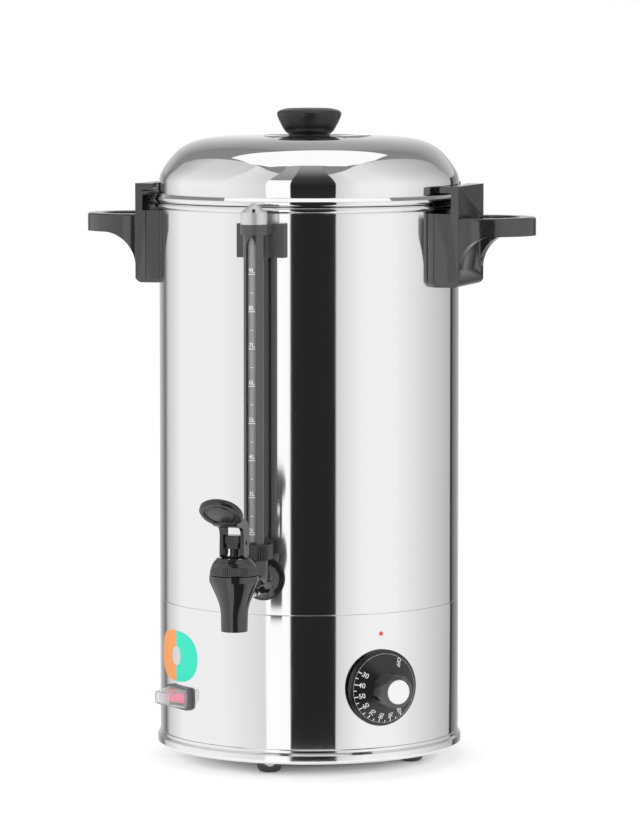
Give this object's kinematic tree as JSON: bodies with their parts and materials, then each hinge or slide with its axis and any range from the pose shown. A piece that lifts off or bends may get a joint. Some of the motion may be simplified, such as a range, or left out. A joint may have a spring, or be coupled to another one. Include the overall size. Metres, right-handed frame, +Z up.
{
  "type": "hot water urn",
  "caption": "Cylindrical steel hot water urn with domed lift-off lid, two black side handles, lever tap with sight gauge, thermostat dial and rocker switch.",
  "frame": {"origin": "on the tank's axis, at the surface the feet stand on", "axes": "+Z up, -Y toward the tap and the sight gauge, +X toward the right-hand handle seen from the tap side"},
  "size_m": [0.344, 0.3493, 0.4817],
  "materials": {
    "polished_steel": "mirror polished stainless steel",
    "fastener_steel": "plain machined steel",
    "aluminium": "cast, matt",
    "copper": "drawn copper",
    "brass": "machined",
    "ceramic": "glazed ceramic",
    "black_bakelite": "moulded, semi-gloss",
    "black_plastic": "moulded, gloss",
    "matte_black": "moulded, satin",
    "grey_plastic": "moulded, satin",
    "white_plastic": "moulded, gloss",
    "red_lens": "translucent red lens",
    "clear_silicone": "clear, soft",
    "gauge_glass": "clear tube",
    "black_rubber": "moulded",
    "grey_rubber": "silicone"
  },
  "bodies": {
    "root": {"tank": "polished_steel", "tank_floor": "polished_steel", "base_shell": "polished_steel", "base_pan": "polished_steel", "feet": "black_rubber", "foot_screws": "fastener_steel", "tie_studs": "fastener_steel", "tie_nuts": "fastener_steel", "heater_plate": "aluminium", "heating_element": "fastener_steel", "element_terminals": "ceramic", "heater_clamp": "fastener_steel", "clamp_bolt": "fastener_steel", "thermal_cutout": "ceramic", "thermostat_body": "grey_plastic", "thermostat_screws": "fastener_steel", "thermostat_bulb": "copper", "bulb_clips": "fastener_steel", "terminal_block": "white_plastic", "terminal_screws": "brass", "switch_gasket": "grey_plastic", "switch_housing": "grey_plastic", "splash_cover": "clear_silicone", "cable_gland": "black_plastic", "gland_nut": "black_plastic", "tap_gasket": "black_rubber", "tap_body": "black_plastic", "tap_washer": "black_rubber", "tap_backnut": "black_plastic", "tap_bonnet": "black_plastic", "tap_spring": "fastener_steel", "gauge_tube": "gauge_glass", "gauge_seal": "black_rubber", "gauge_nut": "black_plastic", "gauge_shield": "black_plastic", "gauge_bracket": "black_plastic", "gauge_screws": "fastener_steel", "gauge_cap": "polished_steel", "handle_left": "black_bakelite", "handle_right": "black_bakelite", "handle_washers": "black_rubber", "handle_screws": "fastener_steel"},
    "lid_knob": {"lid_knob": "matte_black", "knob_washer": "fastener_steel", "knob_screw": "fastener_steel"},
    "lid": {"lid_dome": "polished_steel", "lid_ring": "polished_steel", "lid_lugs": "polished_steel", "lug_rivets": "fastener_steel"},
    "dial": {"dial_skirt": "black_plastic", "dial_hub": "black_plastic", "dial_cap": "white_plastic", "dial_shaft": "fastener_steel"},
    "rocker": {"rocker": "red_lens"},
    "tap_stem": {"tap_stem": "black_plastic", "seat_cup": "grey_rubber", "lever_pin": "fastener_steel"},
    "tap_lever": {"tap_lever": "black_plastic"}
  },
  "joints": [
    {"name": "lid_lift", "type": "slide", "parent": "root", "child": "lid_knob", "axis": [0, 0, 1], "range_m": [0, 0.15]},
    {"name": "lid_turn", "type": "hinge", "parent": "lid_knob", "child": "lid", "pos_m": [0, 0, 0.4585], "axis": [0, 0, -1], "range_deg": [0, 23]},
    {"name": "stem_lift", "type": "slide", "parent": "root", "child": "tap_stem", "axis": [0, 0, 1], "range_m": [0, 0.003], "deforming": ["tap_spring"]},
    {"name": "lever_tilt", "type": "hinge", "parent": "tap_stem", "child": "tap_lever", "pos_m": [0, -0.1785, 0.1792], "axis": [1, 0, 0], "range_deg": [0, 26], "stiffness_Nm_per_rad": 0.035, "springref_deg": -34.38},
    {"name": "dial_turn", "type": "hinge", "parent": "root", "child": "dial", "pos_m": [0.07849, -0.07849, 0.0652], "axis": [-0.7071, 0.7071, 0], "range_deg": [-33, 215]},
    {"name": "rocker_tip", "type": "hinge", "parent": "root", "child": "rocker", "pos_m": [-0.07286, -0.08294, 0.0518], "axis": [0, 0, -1], "range_deg": [0, 24]}
  ],
  "couplings": [
    {"joint": "stem_lift", "follows": "lever_tilt", "m_per_rad": 0.0066}
  ]
}
